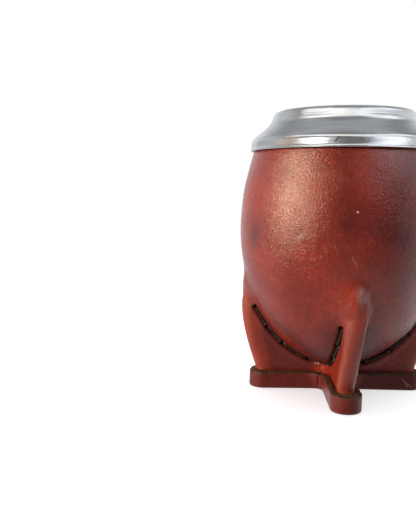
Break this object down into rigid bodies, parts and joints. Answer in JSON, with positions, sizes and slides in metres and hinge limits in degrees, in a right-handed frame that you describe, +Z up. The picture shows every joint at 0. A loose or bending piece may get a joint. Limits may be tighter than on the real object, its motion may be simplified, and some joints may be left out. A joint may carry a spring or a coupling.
{
  "type": "mate gourd cup",
  "caption": "Drinking gourd in a moulded leather cover that stands on pinched fins, with a spun aluminium rim round its open mouth and a leather band round its foot.",
  "frame": {"origin": "on the table under the middle of the cup", "axes": "+Z up through the mouth; the fins point to -Y (the front), +X, +Y and -X"},
  "size_m": [0.0826, 0.0826, 0.115],
  "materials": {
    "gourd": "dry matt gourd wall",
    "leather": "waxed reddish brown, fine grain",
    "band_leather": "waxed dark reddish brown with raw cut edges",
    "aluminium": "spun, brushed round",
    "thread": "waxed black thread"
  },
  "bodies": {
    "root": {"gourd_shell": "gourd", "leather_cover": "leather", "foot_band": "band_leather", "metal_rim": "aluminium", "thread_front_right": "thread", "thread_back_right": "thread", "thread_back_left": "thread", "thread_front_left": "thread"}
  },
  "joints": []
}
